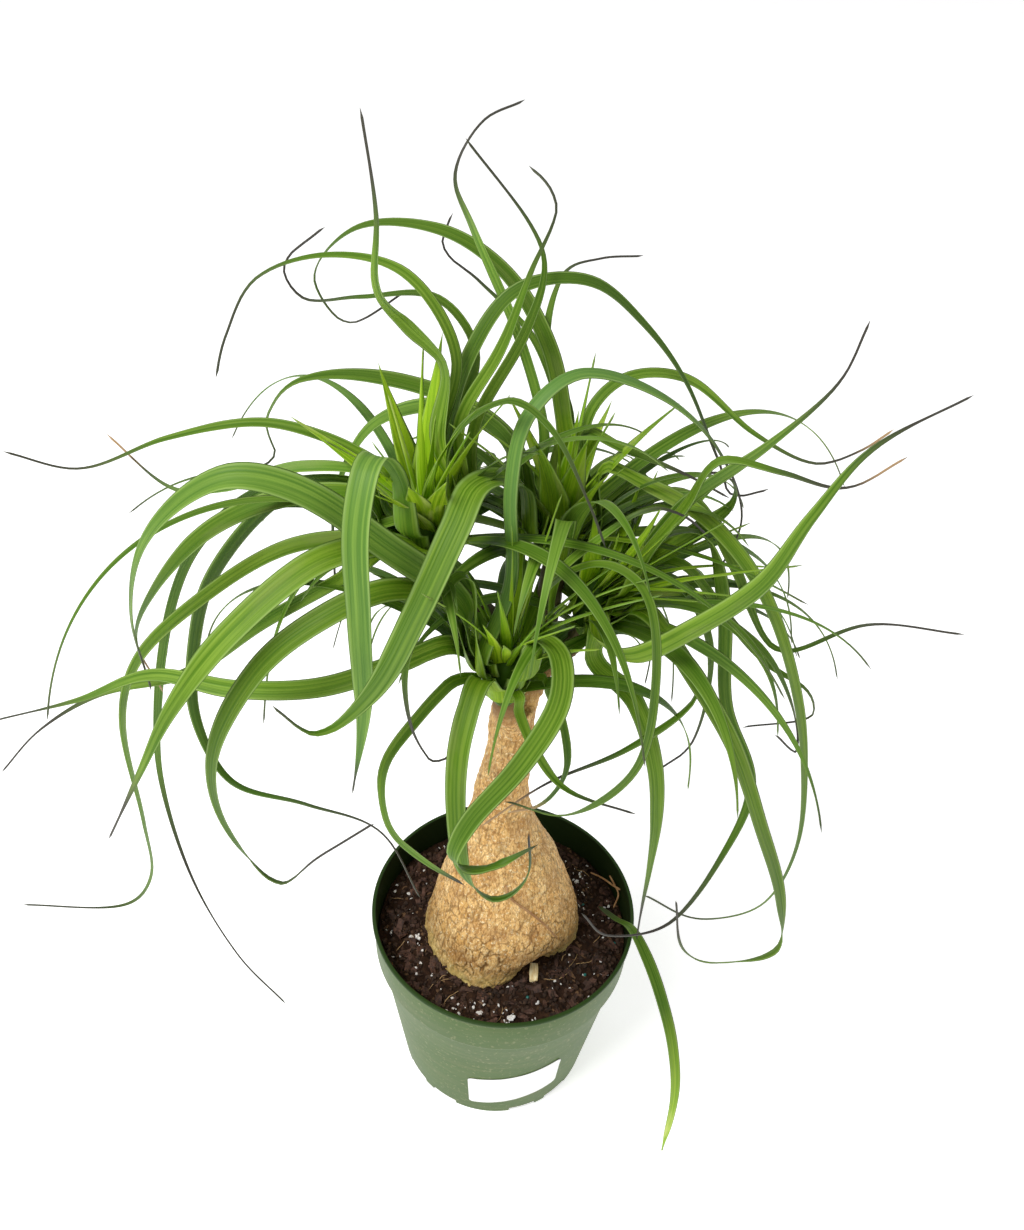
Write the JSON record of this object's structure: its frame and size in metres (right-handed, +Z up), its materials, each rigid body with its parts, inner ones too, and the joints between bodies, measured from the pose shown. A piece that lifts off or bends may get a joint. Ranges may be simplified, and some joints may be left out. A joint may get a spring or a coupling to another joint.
{
  "type": "potted ponytail palm",
  "caption": "Ponytail palm in a nursery pot: a swollen corky trunk that branches into crowns of long, thin, curling strap leaves",
  "frame": {"origin": "middle of the pot's base, on the surface that the pot stands on", "axes": "+Z up; -Y is the front, where the front crown and the bare label are; +X to the right"},
  "size_m": [0.4624, 0.2356, 0.582],
  "materials": {
    "pot_plastic": "sage green moulded plastic, satin matte, darker inside",
    "label_paper": "white paper, bare",
    "potting_mix": "damp dark potting mix with white perlite and bark fines",
    "wood": "pale broken bark chip",
    "cork_bark": "golden tan corky bark, cracked in plates low down",
    "leaf_green": "smooth ribbed strap leaf, satin",
    "young_leaf": "lime green young leaf bases, satin"
  },
  "bodies": {
    "root": {"pot": "pot_plastic", "label": "label_paper", "soil": "potting_mix", "wood_chip": "wood", "trunk": "cork_bark", "heart_front": "young_leaf", "heart_left": "young_leaf", "heart_top": "young_leaf", "heart_right": "young_leaf", "leaf_front_01": "leaf_green", "leaf_front_02": "leaf_green", "leaf_front_03": "leaf_green", "leaf_front_04": "leaf_green", "leaf_front_05": "leaf_green", "leaf_front_06": "leaf_green", "leaf_front_07": "leaf_green", "leaf_front_08": "leaf_green", "leaf_front_09": "leaf_green", "leaf_front_10": "leaf_green", "leaf_front_11": "leaf_green", "leaf_front_12": "leaf_green", "leaf_left_01": "leaf_green", "leaf_left_02": "leaf_green", "leaf_left_03": "leaf_green", "leaf_left_04": "leaf_green", "leaf_left_05": "leaf_green", "leaf_left_06": "leaf_green", "leaf_left_07": "leaf_green", "leaf_left_08": "leaf_green", "leaf_left_09": "leaf_green", "leaf_left_10": "leaf_green", "leaf_left_11": "leaf_green", "leaf_left_12": "leaf_green", "leaf_left_13": "leaf_green", "leaf_left_14": "leaf_green", "leaf_left_15": "leaf_green", "leaf_left_16": "leaf_green", "leaf_top_01": "leaf_green", "leaf_top_02": "leaf_green", "leaf_top_03": "leaf_green", "leaf_top_04": "leaf_green", "leaf_top_05": "leaf_green", "leaf_top_06": "leaf_green", "leaf_top_07": "leaf_green", "leaf_top_08": "leaf_green", "leaf_top_09": "leaf_green", "leaf_top_10": "leaf_green", "leaf_right_01": "leaf_green", "leaf_right_02": "leaf_green", "leaf_right_03": "leaf_green", "leaf_right_04": "leaf_green", "leaf_right_05": "leaf_green", "leaf_right_06": "leaf_green", "leaf_right_07": "leaf_green", "leaf_right_08": "leaf_green", "leaf_right_09": "leaf_green", "leaf_right_10": "leaf_green", "leaf_right_11": "leaf_green", "leaf_right_12": "leaf_green", "leaf_fallen": "leaf_green"}
  },
  "joints": []
}
